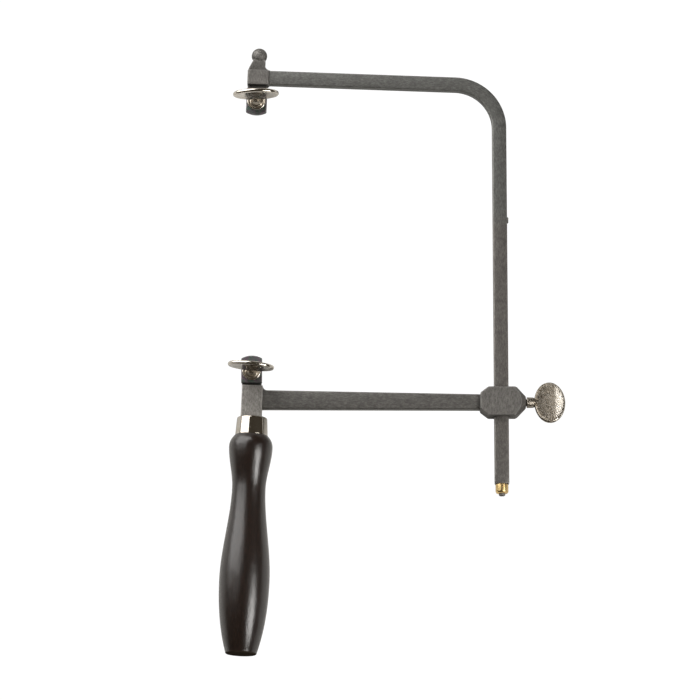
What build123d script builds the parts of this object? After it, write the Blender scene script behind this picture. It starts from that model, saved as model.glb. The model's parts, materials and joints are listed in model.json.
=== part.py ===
from build123d import *
from math import cos, hypot, radians, sin, sqrt
import os

# An adjustable saw frame for fine blades, about 295 mm long, lying on its back.
#
# Every piece is drawn flat in the plane of the frame: X runs from the handle's side to the
# upright bar, Y from the handle up to the head, and Z from the mid-plane towards the wing
# screws. At the end the whole saw is laid on the three places it rests on: the crest of the
# handle, the bend of the bar and the nose of the clamp block.
# Dimensions are in millimetres and degrees.

# The bent bar of the upper frame. It is slightly sprung open, so its arm rises to the head.
bar_width = 6.9
bar_thickness = 4.4
bar_edge = 0.7
upright_x = 118.25
upright_end_y = -40.4
bend_radius = 21.8
bend_centre_y = 133.4
arm_rise = 2.1
corner_cut = 0.9
nib_radius = 1.5
nib_proud = 0.65
nib_depth = 3.0
nib_y = 88.0

# The brass bush that ends the bar, and the steel stud that holds it.
bush_radius = 3.05
bush_length = 4.5
bush_round = 1.1
stud_radius = 1.5
stud_proud = 1.1
stud_depth = 8.0

# The jaws. Blades are held between each jaw's flat face and a plate under a wing screw.
jaw_back = -3.3
jaw_face = 0.6
closed_gap = 0.05
plate_width = 9.9
plate_thickness = 2.6
plate_dome = 1.3
plate_edge = 0.35
plate_hole = 2.2
tongue_width = 9.4
guide_radius = 0.8
guide_offset = 4.0
guide_depth = 2.0
guide_reach = 1.9
guide_play = 0.1

# The upper jaw, with its knob. Its own frame starts at its screw and leans with the bar's arm.
upper_screw = (1.67, 146.2)
upper_flat_end = 6.7
upper_domed_end = 6.45
head_width = 10.3
head_offset = 0.25
head_front = 3.4
head_bottom = 8.6
head_top = 16.0
head_shoulder = 18.6
neck_left = -2.3
neck_right = 3.4
neck_thickness = 5.2
knob_radius = 3.75
knob_x = 0.36
knob_y = 23.5
tenon_length = 4.5

# The lower jaw and the post that carries it. The post leans with the handle.
lower_screw = (0.0, 13.35)
lower_flat_end = 5.3
lower_domed_end = 7.8
post_x = 0.17
post_width = 9.95
post_thickness = 6.2
post_top = 7.0
post_bottom = -8.3
handle_lean = 2.43
tang_radius = 2.4
tang_end = -62.0

# The lower arm tapers from the post to the clamp block.
arm_root_top = 4.75
arm_root_bottom = -4.4
arm_tip_top = 2.65
arm_tip_bottom = -4.7
arm_thickness = 4.8
arm_edge = 0.8
arm_fillet = 2.0
arm_root_x = 2.5
arm_tip_x = 110.7

# The clamp block, an eight-sided sleeve with a turned nose for the thumb screw.
block_y = -1.05
block_left = 108.2
block_left_half = 4.0
block_slope_end = 112.1
block_half = 6.95
block_nose_start = 125.6
block_nose_end = 129.9
block_nose_radius = 2.8
block_depth = 10.4
block_edge = 0.5
nose_cone_start = 124.6
slot_play = 0.15

# The brass shoe in the block, which the thumb screw presses on the bar.
shoe_length = 6.0
shoe_thickness = 1.5
shoe_play = 0.15
shoe_travel = 1.6

# The three finger screws, with oval paddles.
thread_radius = 1.95
thread_play = 0.05
collar_radius = 4.45
collar_thickness = 1.4
collar_round = 0.5
cone_radius = 3.1
cone_top_radius = 0.9
cone_height = 5.6
neck_height = 4.1
paddle_half_width = 10.95
paddle_half_height = 7.4
paddle_thickness = 1.9
paddle_round = 0.65
dish_radius = 51.0
dish_stretch = 1.6
dish_depth = 0.35
upper_paddle_turn = 1.5
lower_paddle_turn = -5.6
side_neck = 3.9
side_neck_gap = 0.4
side_neck_radius = 2.5
side_paddle_turn = -18.6

# The ferrule and the turned handle, on one leaning axis that crosses the arm at handle_x.
# Places along it are measured from there, downwards negative.
handle_x = 0.70
ferrule_top = -8.33
ferrule_top_radius = 7.2
ferrule_bottom_radius = 7.7
ferrule_bottom = -17.1
ferrule_wall = 0.8
ferrule_round = 0.9
shoulder_radius = 7.9
crest_radius = 10.3
crest_place = -22.6
waist_radius = 7.9
waist_place = -42.2
belly_radius = 11.85
belly_place = -86.0
foot_radius = 7.45
foot_place = -120.3
foot_slope = -0.32
handle_end = -121.2

# Where the saw touches the bench: an angle round the bend, and a place along the block's nose.
bend_contact = 33.0
nose_contact_x = 126.9


def along_handle(shape):
    """Moves a shape turned about Y to the leaning axis of the handle."""
    return Pos(handle_x, 0, 0) * Rot(0, 0, -handle_lean) * shape


def along_post(shape):
    """Moves a shape to the post, whose axis runs beside the handle's."""
    return Pos(post_x, 0, 0) * Rot(0, 0, -handle_lean) * shape


def in_head(shape):
    """Moves a shape to the upper jaw, which leans with the bar's arm."""
    return Pos(*upper_screw, 0) * Rot(0, 0, -arm_rise) * shape


def in_lower_jaw(shape):
    """Moves a shape to the lower jaw, whose plate has its domed end up."""
    return Pos(*lower_screw, 0) * Rot(0, 0, 180) * shape


def slab(outline, low, high):
    """Extrudes a closed outline in the XY plane from one height to another."""
    return Pos(0, 0, low) * extrude(make_face(outline), high - low, dir=(0, 0, 1))


def turned(outline):
    """Turns a half outline in the XY plane about the Y axis."""
    return revolve(make_face(outline), Axis.Y)


def rounded(shape, axis, radius):
    """Rounds the edges that run along an axis."""
    return fillet(shape.edges().filter_by(axis), radius)


def arm_direction():
    """Unit vector along the upper arm, from the bend to the head."""
    return Vector(-cos(radians(arm_rise)), sin(radians(arm_rise)))


def bar_path():
    """Centre line of the bar, from its tenon in the head to the end of the upright."""
    centre = Vector(upright_x - bend_radius, bend_centre_y)
    across = Vector(sin(radians(arm_rise)), cos(radians(arm_rise)))
    half_turn = radians(45 - arm_rise / 2)
    arm_start = centre + across * bend_radius
    arc_middle = centre + Vector(cos(half_turn), sin(half_turn)) * bend_radius
    upright_top = centre + Vector(bend_radius, 0)
    head_side = Vector(*upper_screw) - arm_direction() * (head_offset + head_width / 2)
    arm_length = (head_side - arm_start).dot(arm_direction()) + tenon_length
    arm = Line(arm_start + arm_direction() * arm_length, arm_start)
    bend = ThreePointArc(arm_start, arc_middle, upright_top)
    upright = Line(upright_top, (upright_x, upright_end_y))
    return Wire([arm.edge(), bend.edge(), upright.edge()])


def frame_bar():
    """The rounded flat bar, bent through a quarter turn, with its stop holes."""
    path = bar_path()
    section_plane = Plane(origin=path @ 0, x_dir=(0, 0, 1), z_dir=path % 0)
    section = section_plane * RectangleRounded(bar_thickness, bar_width, bar_edge)
    bar = sweep(section, path)
    corner = Pos(upright_x + bar_width / 2, upright_end_y, 0) * Rot(0, 0, 45)
    bar -= corner * Box(2 * corner_cut, corner_cut, 2 * bar_thickness)
    bar -= stud_shape()
    bar -= nib_shape()
    return bar


def nib_shape():
    """The short pin in the upright's outer edge, which meets the block when the frame is closed."""
    length = nib_proud + nib_depth
    middle = upright_x + bar_width / 2 + nib_proud - length / 2
    return Pos(middle, nib_y, 0) * Rot(0, 90, 0) * Cylinder(nib_radius, length)


def stud_shape():
    """The steel stud in the end of the bar, with its tip beyond the bush."""
    tip_y = upright_end_y - bush_length - stud_proud
    length = stud_depth + bush_length + stud_proud
    return Pos(upright_x, tip_y + length / 2, 0) * Rot(90, 0, 0) * Cylinder(stud_radius, length)


def stop_bush():
    """The brass bush, wider than the slot in the block, rounded at its free end."""
    middle = upright_end_y - bush_length / 2
    bush = Pos(upright_x, middle, 0) * Rot(90, 0, 0) * Cylinder(bush_radius, bush_length)
    bush = fillet(bush.edges().group_by(Axis.Y)[0], bush_round)
    return bush - stud_shape()


def guide_pin(low):
    """The pin beside a jaw's screw that keeps the plate from turning, in the jaw's own frame."""
    length = guide_depth + guide_reach
    return Pos(0, guide_offset, low + length / 2) * Cylinder(guide_radius, length)


def screw_hole(low, high):
    """The threaded hole of a jaw, cut plain at the thread's outside."""
    radius = thread_radius + thread_play
    return Pos(0, 0, (low + high) / 2) * Cylinder(radius, high - low + 2)


def upper_jaw_head():
    """Block, jaw, shoulder and knob of the upper end, forged in one piece."""
    left = head_offset - head_width / 2
    right = head_offset + head_width / 2
    block = slab(
        Polyline((left, head_bottom), (right, head_bottom), (right, head_top), (left, head_top), close=True),
        jaw_back,
        head_front,
    )
    block = chamfer(block.edges(), 0.4)
    tongue_end = -upper_domed_end + plate_dome + 0.9
    half = tongue_width / 2
    tongue = slab(
        Polyline((-half, tongue_end), (half, tongue_end), (half, head_bottom + 1), (-half, head_bottom + 1), close=True),
        jaw_back,
        jaw_face,
    )
    neck_outline = [
        Line((left + 0.4, head_top - 1), (left + 0.4, head_top + 0.8)),
        ThreePointArc((left + 0.4, head_top + 0.8), (-3.6, head_shoulder), (neck_left, knob_y - 2.2)),
        Polyline((neck_left, knob_y - 2.2), (neck_right, knob_y - 2.2), (neck_right, head_shoulder)),
        ThreePointArc((neck_right, head_shoulder), (3.7, head_top + 1.2), (4.9, head_top + 0.2)),
        Polyline((4.9, head_top + 0.2), (4.9, head_top - 1), (left + 0.4, head_top - 1)),
    ]
    neck = slab(neck_outline, -neck_thickness / 2, neck_thickness / 2)
    knob = Pos(knob_x, knob_y, 0) * Sphere(knob_radius)
    head = in_head(block + tongue + neck + knob - screw_hole(jaw_back, jaw_face) - guide_pin(jaw_face - guide_depth))
    return head - frame_bar()


def clamp_plate(flat_end, domed_end):
    """A blade plate seen from its screw side, lying on the jaw with its domed end at -Y."""
    half = plate_width / 2
    corner = -domed_end + plate_dome
    outline = [
        Polyline((-half, corner), (-half, flat_end), (half, flat_end), (half, corner)),
        ThreePointArc((half, corner), (0, -domed_end), (-half, corner)),
    ]
    back = jaw_face + closed_gap
    plate = slab(outline, back, back + plate_thickness)
    plate = rounded(plate, Axis.Z, 0.6)
    plate = fillet(plate.edges().group_by(Axis.Z)[-1], plate_edge)
    plate -= Pos(0, 0, back) * Cylinder(plate_hole, 3 * plate_thickness)
    socket = guide_reach - closed_gap + guide_play
    plate -= Pos(0, guide_offset, back + socket / 2) * Cylinder(guide_radius + guide_play, socket)
    return plate


def paddle(centre_height):
    """The oval finger plate of a screw, dished on both faces, with its width along the X axis."""
    upright_plane = Plane(origin=(0, paddle_thickness / 2, centre_height), x_dir=(1, 0, 0), z_dir=(0, 1, 0))
    oval = extrude(upright_plane * Ellipse(paddle_half_width, paddle_half_height), -paddle_thickness)
    oval = fillet(oval.edges(), paddle_round)
    dish = scale(Sphere(dish_radius), by=(dish_stretch, 1, 1))
    away = paddle_thickness / 2 - dish_depth + dish_radius
    return oval - Pos(0, away, centre_height) * dish - Pos(0, -away, centre_height) * dish


def wing_screw(turn):
    """A jaw's screw with its collar on the plate, its cone and its paddle, in the jaw's own frame."""
    seat = jaw_face + closed_gap + plate_thickness
    shank_length = seat - jaw_back - 0.2
    shank = Pos(0, 0, seat - shank_length / 2) * Cylinder(thread_radius, shank_length)
    collar = Pos(0, 0, seat + collar_thickness / 2) * Cylinder(collar_radius, collar_thickness)
    collar = fillet(collar.edges(), collar_round)
    cone_base = seat + collar_thickness
    cone = Pos(0, 0, cone_base + cone_height / 2) * Cone(cone_radius, cone_top_radius, cone_height)
    oval = paddle(cone_base + neck_height + paddle_half_height)
    return Rot(0, 0, turn) * (shank + collar + cone + oval)


def lower_arm():
    """The tapered arm, whose top runs up into the post in a small fillet."""
    post_side = post_x + post_width / 2
    slope = (arm_tip_top - arm_root_top) / (arm_tip_x - arm_root_x)
    flare_x = post_side + arm_fillet + 0.6
    flare_y = arm_root_top + slope * (flare_x - arm_root_x)
    flare_top = flare_y + arm_fillet
    arc_middle = (post_side + 0.35 + 0.293 * arm_fillet, flare_y + 0.293 * arm_fillet)
    outline = [
        Polyline((arm_root_x, arm_root_bottom), (arm_tip_x, arm_tip_bottom), (arm_tip_x, arm_tip_top)),
        Line((arm_tip_x, arm_tip_top), (flare_x, flare_y)),
        ThreePointArc((flare_x, flare_y), arc_middle, (post_side + 0.1, flare_top)),
        Polyline((post_side + 0.1, flare_top), (arm_root_x, flare_top), (arm_root_x, arm_root_bottom)),
    ]
    arm = slab(outline, -arm_thickness / 2, arm_thickness / 2)
    long_edges = arm.edges().filter_by(lambda e: e.length > 60)
    return fillet(long_edges, arm_edge)


def tang():
    """The round tang that holds the post in the ferrule and the handle."""
    length = post_bottom - tang_end
    return along_handle(Pos(0, tang_end + length / 2, 0) * Rot(90, 0, 0) * Cylinder(tang_radius, length))


def lower_post():
    """Post, lower jaw and tang. The arm is set in its side."""
    half = post_width / 2
    post = slab(
        Polyline((-half, post_bottom), (half, post_bottom), (half, post_top), (-half, post_top), close=True),
        -post_thickness / 2,
        post_thickness / 2,
    )
    post = chamfer(post.edges(), 0.4)
    half = tongue_width / 2
    tongue_end = -lower_domed_end + plate_dome / 2
    root = lower_screw[1] - post_top + 2
    tongue = slab(
        Polyline((-half, tongue_end), (half, tongue_end), (half, root), (-half, root), close=True),
        -post_thickness / 2,
        jaw_face,
    )
    jaw = tongue - screw_hole(jaw_back, jaw_face) - guide_pin(jaw_face - guide_depth)
    return along_post(post) + in_lower_jaw(jaw) + tang() - lower_arm()


def shoe_place(play):
    """The box of the brass shoe against the bar, or with some play round it."""
    thickness = shoe_thickness
    inner = upright_x + bar_width / 2 + 0.02
    size = (thickness, shoe_length + 2 * play, bar_thickness + 2 * play - 0.4)
    return Pos(inner + thickness / 2, block_y, 0) * Box(*size)


def pressure_shoe():
    """The brass shoe, with rounded corners."""
    return rounded(shoe_place(0), Axis.X, 0.5)


def nose_cone_radius(x):
    """Radius of the turned nose about the thumb screw's axis."""
    widest = hypot(block_half, block_depth / 2)
    share = (x - nose_cone_start) / (block_nose_end - nose_cone_start)
    return widest + (block_nose_radius - widest) * max(share, 0)


def clamp_block():
    """The sleeve on the end of the lower arm, with the slot for the upright bar."""
    upper = [
        (block_left, block_left_half),
        (block_slope_end, block_half),
        (block_nose_start, block_half),
        (block_nose_end, block_nose_radius),
    ]
    lower = [(x, -y) for x, y in reversed(upper)]
    body = slab(Polyline(*upper, *lower, close=True), -block_depth / 2, block_depth / 2)
    widest = nose_cone_radius(nose_cone_start)
    envelope = Polyline(
        (block_left, 0),
        (block_left, hypot(block_left_half, block_depth / 2) - 0.6),
        (block_slope_end, widest),
        (nose_cone_start, widest),
        (block_nose_end, block_nose_radius),
        (block_nose_end, 0),
        close=True,
    )
    body &= revolve(make_face(envelope), Axis.X)
    long_edges = body.edges().filter_by(Axis.X)
    body = chamfer(long_edges, block_edge)
    block = Pos(0, block_y, 0) * body
    slot_width = bar_width + 2 * slot_play
    block -= Pos(upright_x, block_y, 0) * Box(slot_width, 3 * block_half, bar_thickness + 2 * slot_play)
    recess_end = upright_x + bar_width / 2 + shoe_thickness + shoe_travel
    recess_start = upright_x
    recess_width = shoe_length + 2 * shoe_play
    recess_depth = bar_thickness - 0.4 + 2 * shoe_play
    recess = Box(recess_end - recess_start, recess_width, recess_depth)
    block -= Pos((recess_start + recess_end) / 2, block_y, 0) * recess
    hole_length = block_nose_end - recess_end + 2
    hole = Rot(0, 90, 0) * Cylinder(thread_radius + thread_play, hole_length)
    block -= Pos(recess_end - 1 + hole_length / 2, block_y, 0) * hole
    return block - lower_arm()


def side_thumb_screw():
    """The screw in the nose of the block. Its tip stands on the shoe."""
    tip = upright_x + bar_width / 2 + shoe_thickness + 0.04
    paddle_start = block_nose_end + side_neck
    length = paddle_start - 1.0 - tip
    shank = Pos(0, 0, tip + length / 2) * Cylinder(thread_radius, length)
    neck_start = block_nose_end + side_neck_gap
    neck_end = paddle_start - 0.8
    neck = Pos(0, 0, (neck_start + neck_end) / 2) * Cylinder(side_neck_radius, neck_end - neck_start)
    web = Pos(0, 0, neck_end + 2) * Cone(side_neck_radius, cone_top_radius, 4)
    oval = paddle(paddle_start + paddle_half_height)
    screw = Rot(0, 0, 90 + side_paddle_turn) * (shank + neck + web + oval)
    return Pos(0, block_y, 0) * Rot(0, 90, 0) * screw


def ferrule():
    """The drawn cup at the top of the handle, with a hole for the tang."""
    top = ferrule_top
    inner_top = top - ferrule_wall
    inner_top_radius = ferrule_top_radius - ferrule_wall
    inner_bottom_radius = ferrule_bottom_radius - ferrule_wall
    outline = [
        Polyline((tang_radius, top), (ferrule_top_radius - ferrule_round, top)),
        RadiusArc(
            (ferrule_top_radius - ferrule_round, top),
            (ferrule_top_radius, top - ferrule_round),
            ferrule_round,
        ),
        Polyline(
            (ferrule_top_radius, top - ferrule_round),
            (ferrule_bottom_radius, ferrule_bottom),
            (inner_bottom_radius, ferrule_bottom),
            (inner_top_radius, inner_top),
            (tang_radius, inner_top),
            (tang_radius, top),
        ),
    ]
    return along_handle(turned(outline))


def handle():
    """The turned handle: a spigot in the ferrule, a crest, a waist, a full belly and a flat foot."""
    spigot_top = ferrule_top - ferrule_wall
    spigot_top_radius = ferrule_top_radius - ferrule_wall
    spigot_radius = ferrule_bottom_radius - ferrule_wall
    shoulder = (shoulder_radius, ferrule_bottom)
    crest = (crest_radius, crest_place)
    waist = (waist_radius, waist_place)
    belly = (belly_radius, belly_place)
    foot = (foot_radius, foot_place)
    foot_inner = (foot_radius - 1.1, handle_end)
    down = (0, -1)
    outline = [
        Polyline((0, spigot_top), (spigot_top_radius, spigot_top), (spigot_radius, ferrule_bottom), shoulder),
        Spline(shoulder, crest, tangents=[(0.9, -1), down]),
        Spline(crest, waist, tangents=[down, down]),
        Spline(waist, belly, tangents=[down, down]),
        Spline(belly, foot, tangents=[down, (foot_slope, -1)]),
        ThreePointArc(foot, (foot_radius - 0.45, (foot_place + handle_end) / 2 - 0.25), foot_inner),
        Polyline(foot_inner, (0, handle_end), (0, spigot_top)),
    ]
    return along_handle(turned(outline)) - tang()


def resting_plane():
    """The plane that the saw lies on, through its three contacts."""
    lean = radians(handle_lean)
    crest = Vector(handle_x + crest_place * sin(lean), crest_place * cos(lean), -crest_radius)
    outer = bend_radius + bar_width / 2 - bar_edge
    angle = radians(bend_contact)
    bend_x = upright_x - bend_radius + outer * cos(angle)
    bend = Vector(bend_x, bend_centre_y + outer * sin(angle), -bar_thickness / 2)
    half_depth = block_depth / 2
    nose_half = sqrt(nose_cone_radius(nose_contact_x) ** 2 - half_depth**2)
    nose = Vector(nose_contact_x, block_y + nose_half, -half_depth)
    normal = (nose - crest).cross(bend - crest).normalized()
    along_x = (Vector(1, 0, 0) - normal * normal.X).normalized()
    return Plane(origin=crest, x_dir=along_x, z_dir=normal)


pieces = {
    "frame_bar": frame_bar(),
    "upper_jaw_head": upper_jaw_head(),
    "travel_nib": nib_shape(),
    "stop_bush": stop_bush(),
    "stop_stud": stud_shape(),
    "upper_guide_pin": in_head(guide_pin(jaw_face - guide_depth)),
    "upper_clamp_plate": in_head(clamp_plate(upper_flat_end, upper_domed_end)),
    "upper_wing_screw": in_head(wing_screw(upper_paddle_turn + arm_rise)),
    "lower_post": lower_post(),
    "lower_arm": lower_arm(),
    "clamp_block": clamp_block(),
    "pressure_shoe": pressure_shoe(),
    "side_thumb_screw": side_thumb_screw(),
    "lower_guide_pin": in_lower_jaw(guide_pin(jaw_face - guide_depth)),
    "lower_clamp_plate": in_lower_jaw(clamp_plate(lower_flat_end, lower_domed_end)),
    "lower_wing_screw": in_lower_jaw(wing_screw(lower_paddle_turn)),
    "ferrule": ferrule(),
    "handle": handle(),
}

floor = resting_plane()
laid = {name: floor.to_local_coords(shape) for name, shape in pieces.items()}
whole = Compound(children=[Compound(shape.solids()) for shape in laid.values()]).bounding_box()
centred = Pos(-(whole.min.X + whole.max.X) / 2, -(whole.min.Y + whole.max.Y) / 2, -whole.min.Z)

os.makedirs("parts", exist_ok=True)
for name, shape in laid.items():
    export_step(centred * shape, f"parts/{name}.step")
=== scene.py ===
import json
import math
import bmesh
import bpy
import numpy as np
from mathutils import Matrix, Vector

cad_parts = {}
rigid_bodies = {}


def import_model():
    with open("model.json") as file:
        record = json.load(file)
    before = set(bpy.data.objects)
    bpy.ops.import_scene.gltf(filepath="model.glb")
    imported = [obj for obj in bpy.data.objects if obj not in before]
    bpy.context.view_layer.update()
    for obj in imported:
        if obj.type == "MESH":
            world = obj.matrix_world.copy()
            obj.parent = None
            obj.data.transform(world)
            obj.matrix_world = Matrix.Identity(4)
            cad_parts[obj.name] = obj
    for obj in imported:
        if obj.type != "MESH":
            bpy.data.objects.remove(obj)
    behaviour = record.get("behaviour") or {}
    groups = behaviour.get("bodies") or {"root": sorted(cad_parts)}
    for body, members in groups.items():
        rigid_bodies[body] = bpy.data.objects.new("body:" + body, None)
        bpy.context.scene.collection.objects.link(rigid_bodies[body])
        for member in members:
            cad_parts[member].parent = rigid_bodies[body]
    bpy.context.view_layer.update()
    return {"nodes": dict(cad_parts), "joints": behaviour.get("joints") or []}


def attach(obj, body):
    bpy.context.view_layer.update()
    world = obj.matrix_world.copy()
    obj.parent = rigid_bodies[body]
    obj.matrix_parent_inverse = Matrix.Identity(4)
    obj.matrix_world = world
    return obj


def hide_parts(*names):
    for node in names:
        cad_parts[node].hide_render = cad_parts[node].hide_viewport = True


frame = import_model()

# An adjustable saw frame for fine blades. Pieces are drawn in the plane of the saw, in
# millimetres: X from the handle's side to the upright bar, Y from the handle up to the head,
# Z from the mid-plane towards the wing screws. SAW takes them to the CAD frame.
MM = 0.001

# ---------------------------------------------------------------- dimensions, as the CAD has them
bar_width = 6.9
bar_thickness = 4.4
upright_x = 118.25
upright_end_y = -40.4
bend_radius = 21.8
bend_centre_y = 133.4
arm_rise = 2.1
nib_y = 88.0
nib_radius = 1.5
nib_proud = 0.65

bush_radius = 3.05
bush_length = 4.5
stud_radius = 1.5
stud_proud = 1.1

jaw_back = -3.3
jaw_face = 0.6
closed_gap = 0.05
plate_width = 9.9
plate_thickness = 2.6
plate_dome = 1.3
plate_hole = 2.2
tongue_width = 9.4
seat_height = jaw_face + closed_gap + plate_thickness

upper_screw = (1.67, 146.2)
upper_flat_end = 6.7
upper_domed_end = 6.45
head_width = 10.3
head_offset = 0.25
head_front = 3.4
head_bottom = 8.6
head_top = 16.0
neck_thickness = 5.2
arm_in_head = 12.48
knob_radius = 3.75
knob_x = 0.36
knob_y = 23.5

lower_screw = (0.0, 13.35)
lower_flat_end = 5.3
lower_domed_end = 7.8
post_x = 0.17
post_width = 9.95
post_thickness = 6.2
post_top = 7.0
post_bottom = -8.3
handle_lean = 2.43
tang_radius = 2.4
tang_end = -62.0

arm_root_top = 4.75
arm_root_bottom = -4.4
arm_tip_top = 2.65
arm_tip_bottom = -4.7
arm_thickness = 4.8
arm_fillet = 2.0
arm_root_x = 2.5
arm_tip_x = 110.7

block_y = -1.05
block_left = 108.2
block_left_half = 4.0
block_slope_end = 112.1
block_half = 6.95
block_nose_start = 125.6
block_nose_end = 129.9
block_nose_radius = 2.8
block_depth = 10.4
nose_cone_start = 124.6
slot_play = 0.15
pocket_reach = 2.95
pocket_half_width = 3.15
pocket_half_depth = 2.15
nose_hole_start = 122.0
shoe_thickness = 1.5

thread_radius = 1.95
thread_pitch = 0.7
thread_depth = 0.36
hole_radius = thread_radius + 0.05
collar_radius = 4.45
collar_thickness = 1.4
cone_radius = 3.1
cone_top_radius = 0.9
cone_height = 5.6
neck_height = 4.1
paddle_half_width = 10.95
paddle_half_height = 7.4
paddle_thickness = 1.9
paddle_round = 0.8
dish_depth = 0.35
dish_share = 0.9
upper_paddle_turn = 1.5
lower_paddle_turn = -5.6
side_neck = 3.9
side_neck_gap = 0.4
side_neck_radius = 2.5
side_paddle_turn = -18.6

handle_x = 0.70
ferrule_top = -8.33
ferrule_top_radius = 7.2
ferrule_bottom_radius = 7.7
ferrule_bottom = -17.1
ferrule_wall = 0.8
ferrule_round = 0.9
handle_end = -121.2


# ---------------------------------------------------------------- the plane of the saw
def joint(name):
    """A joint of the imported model, by name."""
    return next(j for j in frame["joints"] if j["name"] == name)


across = Vector(joint("shoe_back")["axis"])
upward = Vector(joint("frame_slide")["axis"])
outward = Vector(joint("upper_plate_lift")["axis"])
saw_turn = Matrix((across, upward, outward)).transposed()
seat_place = Vector((lower_screw[0], lower_screw[1], seat_height))
saw_origin = Vector(joint("lower_screw_turn")["pos_m"]) - saw_turn @ seat_place * MM
SAW = Matrix.Translation(saw_origin) @ saw_turn.to_4x4() @ Matrix.Scale(MM, 4)


def turn(degrees, axis):
    """A rotation about one of the axes."""
    return Matrix.Rotation(math.radians(degrees), 4, axis)


def shift(x, y, z):
    """A move along the three axes."""
    return Matrix.Translation((x, y, z))


AS_DRAWN = Matrix.Identity(4)
ALONG_HANDLE = shift(handle_x, 0, 0) @ turn(-handle_lean, "Z")
ALONG_POST = shift(post_x, 0, 0) @ turn(-handle_lean, "Z")
IN_HEAD = shift(*upper_screw, 0) @ turn(-arm_rise, "Z")
IN_LOWER_JAW = shift(*lower_screw, 0) @ turn(180, "Z")
IN_BLOCK_NOSE = shift(0, block_y, 0) @ turn(90, "Y")


# ---------------------------------------------------------------- closed skins
def tidied(mesh):
    """Merges doubled points and turns every face outwards."""
    work = bmesh.new()
    work.from_mesh(mesh)
    bmesh.ops.remove_doubles(work, verts=work.verts, dist=1e-4)
    bmesh.ops.dissolve_degenerate(work, edges=work.edges, dist=1e-5)
    bmesh.ops.recalc_face_normals(work, faces=work.faces)
    work.to_mesh(mesh)
    work.free()
    return mesh


def skin(rings, looped=False):
    """A skin over rings of points. Its ends are shut with fans, or joined where it is looped."""
    count = len(rings[0])
    points = [tuple(point) for ring in rings for point in ring]
    faces = []
    last = len(rings) if looped else len(rings) - 1
    for row in range(last):
        here, after = row * count, (row + 1) % len(rings) * count
        for i in range(count):
            j = (i + 1) % count
            faces.append((here + i, here + j, after + j, after + i))
    for start in () if looped else (0, last * count):
        middle = len(points)
        points.append(tuple(np.mean(points[start : start + count], axis=0)))
        faces += [(start + i, start + (i + 1) % count, middle) for i in range(count)]
    mesh = bpy.data.meshes.new("skin")
    mesh.from_pydata(points, [], faces)
    return tidied(mesh)


def lathed(profile, segments=96, looped=False):
    """Turns a profile of (radius, height) pairs about the local Z axis."""
    angles = [2 * math.pi * i / segments for i in range(segments)]
    return skin([[(r * math.cos(a), r * math.sin(a), z) for a in angles] for r, z in profile], looped)


def arc(centre, radius, start, end, steps=6):
    """Points of a round corner, by its angles in degrees."""
    angles = [math.radians(start + (end - start) * i / steps) for i in range(steps + 1)]
    return [(centre[0] + radius * math.cos(a), centre[1] + radius * math.sin(a)) for a in angles]


def eased(start, end, start_slope, end_slope, steps):
    """A smooth run from one (radius, height) to the next, with its slopes, without its last point."""
    run = []
    for i in range(steps):
        t = i / steps
        rise = end[1] - start[1]
        value = (2 * t**3 - 3 * t**2 + 1) * start[0] + (3 * t**2 - 2 * t**3) * end[0]
        value += (t**3 - 2 * t**2 + t) * start_slope * rise + (t**3 - t**2) * end_slope * rise
        run.append((value, start[1] + t * rise))
    return run


def prism(outline, low, high, chamfer=0.0):
    """A straight-sided solid between two heights, with its edges broken."""
    work = bmesh.new()
    face = work.faces.new([work.verts.new((x, y, low)) for x, y in outline])
    raised = bmesh.ops.extrude_face_region(work, geom=[face])["geom"]
    top = [part for part in raised if isinstance(part, bmesh.types.BMVert)]
    bmesh.ops.translate(work, verts=top, vec=(0, 0, high - low))
    bmesh.ops.recalc_face_normals(work, faces=work.faces)
    if chamfer:
        bmesh.ops.bevel(work, geom=work.edges[:], offset=chamfer, segments=2, affect="EDGES", profile=0.5)
    mesh = bpy.data.meshes.new("prism")
    work.to_mesh(mesh)
    work.free()
    return mesh


def block(left, right, bottom, top, low, high, chamfer=0.0):
    """A prism over a rectangle."""
    return prism([(left, bottom), (right, bottom), (right, top), (left, top)], low, high, chamfer)


def bowed(start, middle, end, steps=8):
    """Points of a bow that passes through three points."""
    pull = [2 * m - (s + e) / 2 for s, m, e in zip(start, middle, end)]
    points = []
    for i in range(steps + 1):
        t = i / steps
        weights = ((1 - t) ** 2, 2 * t * (1 - t), t * t)
        points.append(tuple(sum(w * v for w, v in zip(weights, values)) for values in zip(start, pull, end)))
    return points


def moved(mesh, place):
    """The mesh itself, moved to a place."""
    mesh.transform(place)
    return mesh


def disc(radius, low, high, top_radius=None, segments=48):
    """A round or tapered solid along the local Z axis."""
    return lathed([(0, low), (radius, low), (top_radius or radius, high), (0, high)], segments)


def evaluated(thing):
    """The mesh of an object with its modifiers done. The object is then removed."""
    bpy.context.scene.collection.objects.link(thing)
    bpy.context.view_layer.update()
    graph = bpy.context.evaluated_depsgraph_get()
    mesh = bpy.data.meshes.new_from_object(thing.evaluated_get(graph), depsgraph=graph)
    bpy.data.objects.remove(thing)
    return mesh


def combined(solids, cuts=(), common=()):
    """Solids joined, cut by others and kept only inside the common ones."""
    whole = bpy.data.objects.new("whole", solids[0])
    tools = []
    for how, meshes in (("UNION", solids[1:]), ("INTERSECT", common), ("DIFFERENCE", cuts)):
        for mesh in meshes:
            tool = bpy.data.objects.new("tool", mesh)
            bpy.context.scene.collection.objects.link(tool)
            step = whole.modifiers.new("join", "BOOLEAN")
            step.operation, step.object, step.solver = how, tool, "EXACT"
            tools.append(tool)
    mesh = evaluated(whole)
    for tool in tools:
        bpy.data.objects.remove(tool)
    return mesh


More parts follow.
